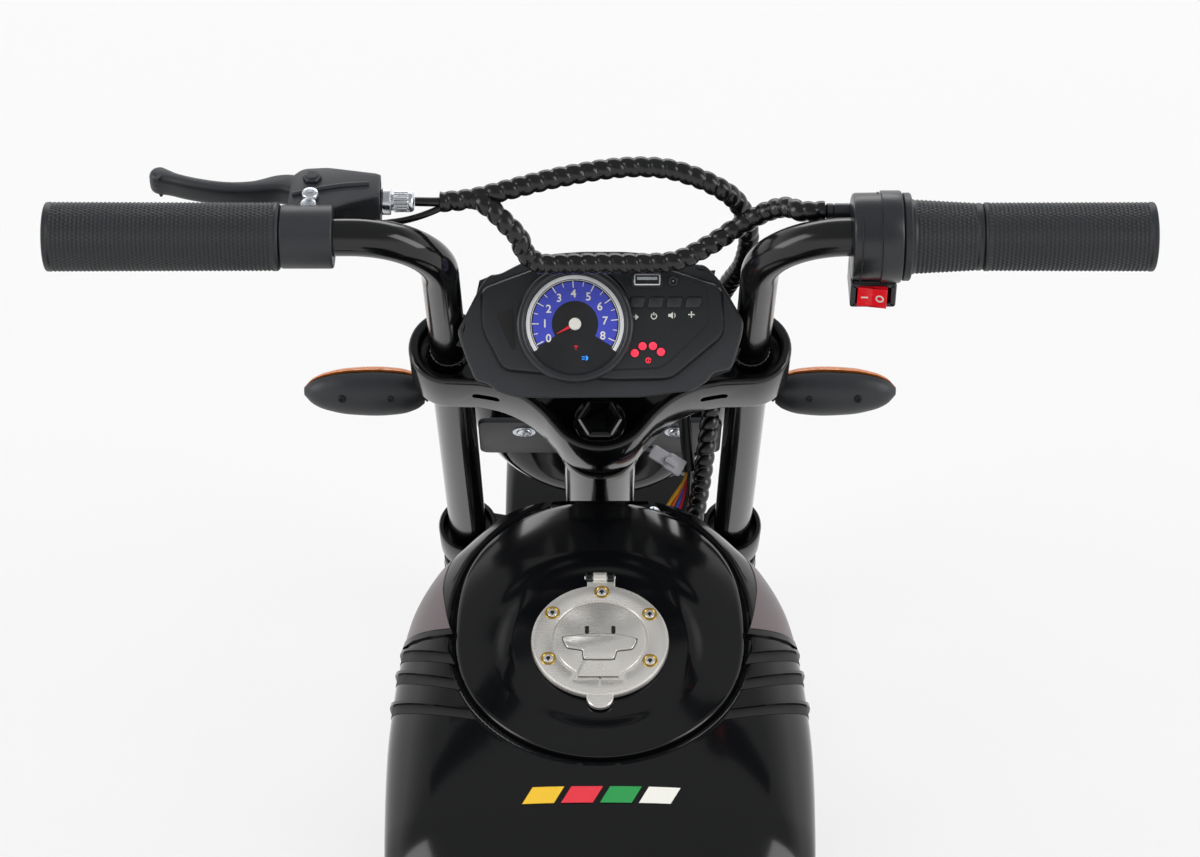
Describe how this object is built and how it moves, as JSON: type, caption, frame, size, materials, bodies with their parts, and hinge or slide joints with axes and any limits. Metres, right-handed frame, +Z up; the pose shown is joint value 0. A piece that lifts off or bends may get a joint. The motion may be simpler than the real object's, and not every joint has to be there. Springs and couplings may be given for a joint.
{
  "type": "ride-on motorcycle",
  "caption": "Child's battery ride-on motorcycle with a sprung-look fork, teardrop tank, hinged cap, lever, twist grip, lit dash, padded seat and training wheels.",
  "frame": {"origin": "middle of the bounding box at ground level, midway between the axles", "axes": "+X the rider's right, +Y forward, +Z up"},
  "size_m": [0.538, 1.046, 0.7025],
  "materials": {
    "battery_case": "grey battery case",
    "bright_chrome": "bright chrome",
    "gloss_black_paint": "gloss black paint on steel",
    "gloss_black_shell": "gloss black moulded shell",
    "grip_rubber": "charcoal grip rubber",
    "harness_wrap": "black spiral wrap over cables",
    "lens_clear": "clear lens",
    "lens_red": "red lens",
    "rim_plastic": "black moulded rim",
    "satin_black_plastic": "satin black moulded plastic",
    "seat_vinyl": "black seat vinyl",
    "switch_red": "red rocker switch",
    "tyre_rubber": "black tyre rubber",
    "zinc_steel": "zinc-plated steel"
  },
  "bodies": {
    "front_wheel": {"front_rim": "rim_plastic", "front_tyre": "tyre_rubber"},
    "rear_wheel": {"rear_rim": "rim_plastic", "rear_tyre": "tyre_rubber"},
    "stabiliser_wheel_left": {"stabiliser_wheel_left": "tyre_rubber"},
    "frame": {"battery_pack": "battery_case", "cap_hinge": "bright_chrome", "charge_socket": "satin_black_plastic", "control_box": "satin_black_plastic", "footpeg_left": "grip_rubber", "footpeg_right": "grip_rubber", "gear_motor": "satin_black_plastic", "main_frame": "gloss_black_paint", "rear_axle": "zinc_steel", "rear_fender": "gloss_black_shell", "seat_cushion": "seat_vinyl", "seat_pan": "satin_black_plastic", "side_cover_left": "satin_black_plastic", "side_cover_right": "satin_black_plastic", "stabiliser_arm_left": "gloss_black_paint", "stabiliser_arm_right": "gloss_black_paint", "tail_lamp": "lens_red", "tank_cover": "gloss_black_shell", "tank_shell": "gloss_black_shell"},
    "stabiliser_wheel_right": {"stabiliser_wheel_right": "tyre_rubber"},
    "cap_lid": {"cap_lid": "bright_chrome"},
    "steering": {"brake_harness": "harness_wrap", "cable_adjuster": "zinc_steel", "dash_bracket": "gloss_black_paint", "dash_housing": "satin_black_plastic", "dash_panel": "satin_black_plastic", "fork_leg_left": "gloss_black_paint", "fork_leg_right": "gloss_black_paint", "fork_tube_left": "gloss_black_paint", "fork_tube_right": "gloss_black_paint", "front_axle": "zinc_steel", "front_fender": "gloss_black_shell", "grip_left": "grip_rubber", "grip_right": "grip_rubber", "handlebar_left": "gloss_black_paint", "handlebar_right": "gloss_black_paint", "harness_drop": "harness_wrap", "headlight_bracket": "satin_black_plastic", "headlight_lens": "lens_clear", "headlight_shell": "gloss_black_shell", "indicator_left": "satin_black_plastic", "indicator_right": "satin_black_plastic", "lever_bracket": "satin_black_plastic", "lower_yoke": "gloss_black_paint", "steering_stem": "gloss_black_paint", "throttle_harness": "harness_wrap", "throttle_housing": "satin_black_plastic", "upper_yoke": "gloss_black_paint"},
    "throttle_sleeve": {"throttle_sleeve": "grip_rubber"},
    "switch_rocker": {"switch_rocker": "switch_red"},
    "brake_lever": {"brake_lever": "satin_black_plastic"},
    "dash_button_1": {"dash_button_1": "satin_black_plastic"},
    "dash_button_2": {"dash_button_2": "satin_black_plastic"},
    "dash_button_3": {"dash_button_3": "satin_black_plastic"},
    "dash_button_4": {"dash_button_4": "satin_black_plastic"}
  },
  "joints": [
    {"name": "steering", "type": "hinge", "parent": "frame", "child": "steering", "pos_m": [0, 0.21496, 0.39999], "axis": [0, -0.4226, 0.9063], "range_deg": [-30, 30], "deforming": ["harness_drop"]},
    {"name": "front_wheel_spin", "type": "hinge", "parent": "steering", "child": "front_wheel", "pos_m": [0, 0.378, 0.145], "axis": [1, 0, 0], "continuous": true},
    {"name": "rear_wheel_spin", "type": "hinge", "parent": "frame", "child": "rear_wheel", "pos_m": [0, -0.378, 0.145], "axis": [1, 0, 0], "continuous": true},
    {"name": "brake_lever_pull", "type": "hinge", "parent": "steering", "child": "brake_lever", "pos_m": [-0.141, 0.16003, 0.68], "axis": [0, 0, 1], "range_deg": [0, 10], "stiffness_Nm_per_rad": 0.8, "springref_deg": -17.19},
    {"name": "throttle_twist", "type": "hinge", "parent": "steering", "child": "throttle_sleeve", "pos_m": [0.165, 0.12853, 0.68], "axis": [1, 0, 0], "range_deg": [0, 60], "stiffness_Nm_per_rad": 0.15, "springref_deg": -17.19},
    {"name": "switch_rock", "type": "hinge", "parent": "steering", "child": "switch_rocker", "pos_m": [0.133, 0.11503, 0.656], "axis": [0, 0, 1], "range_deg": [0, 18]},
    {"name": "cap_open", "type": "hinge", "parent": "frame", "child": "cap_lid", "pos_m": [0, 0.08212, 0.49114], "axis": [-1, 0, 0], "range_deg": [0, 100]},
    {"name": "stabiliser_spin_left", "type": "hinge", "parent": "frame", "child": "stabiliser_wheel_left", "pos_m": [-0.178, -0.378, 0.056], "axis": [1, 0, 0], "continuous": true},
    {"name": "stabiliser_spin_right", "type": "hinge", "parent": "frame", "child": "stabiliser_wheel_right", "pos_m": [0.178, -0.378, 0.056], "axis": [1, 0, 0], "continuous": true},
    {"name": "dash_button_1_press", "type": "slide", "parent": "steering", "child": "dash_button_1", "axis": [0, 0.7314, -0.682], "range_m": [0, 0.0012], "stiffness_N_per_m": 500, "springref_m": -0.0005},
    {"name": "dash_button_2_press", "type": "slide", "parent": "steering", "child": "dash_button_2", "axis": [0, 0.7314, -0.682], "range_m": [0, 0.0012], "stiffness_N_per_m": 500, "springref_m": -0.0005},
    {"name": "dash_button_3_press", "type": "slide", "parent": "steering", "child": "dash_button_3", "axis": [0, 0.7314, -0.682], "range_m": [0, 0.0012], "stiffness_N_per_m": 500, "springref_m": -0.0005},
    {"name": "dash_button_4_press", "type": "slide", "parent": "steering", "child": "dash_button_4", "axis": [0, 0.7314, -0.682], "range_m": [0, 0.0012], "stiffness_N_per_m": 500, "springref_m": -0.0005}
  ]
}
